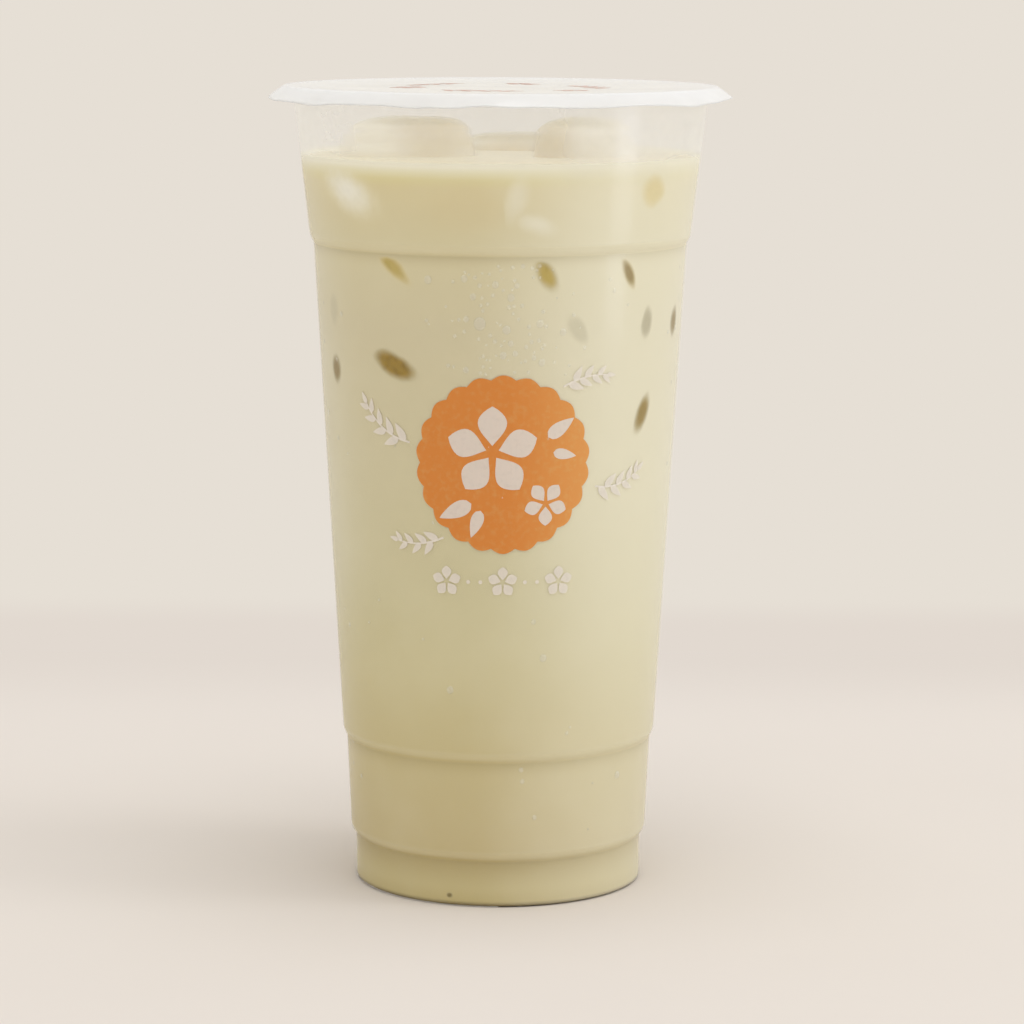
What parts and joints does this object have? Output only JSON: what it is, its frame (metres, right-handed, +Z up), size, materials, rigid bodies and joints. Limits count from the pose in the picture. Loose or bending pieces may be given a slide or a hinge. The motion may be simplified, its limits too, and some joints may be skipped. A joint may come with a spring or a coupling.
{
  "type": "iced milk tea in a sealed takeaway cup",
  "caption": "Tall translucent cup with stepped ledges, filled with iced milk tea and closed by a heat-sealed film whose spare edge droops over the rim.",
  "frame": {"origin": "centre of the foot's base, on the surface that the cup stands on", "axes": "+Z up the cup's axis; -Y is the side with the printed badge"},
  "size_m": [0.0974, 0.0974, 0.168],
  "materials": {
    "cup_plastic": "thin translucent polypropylene, glossy",
    "seal_film": "thin milky heat-sealing film, glossy",
    "milk_tea": "opaque pale milk tea, wet",
    "ice": "wet, melted edges",
    "print_orange": "orange ink on the cup",
    "print_white": "thin white ink on the cup",
    "print_red": "thin red-brown ink on the film",
    "water": "condensation drops and air bubbles"
  },
  "bodies": {
    "root": {"cup": "cup_plastic", "seal_film": "seal_film", "milk_tea": "milk_tea", "ice_left": "ice", "ice_right": "ice", "ice_back": "ice"}
  },
  "joints": []
}
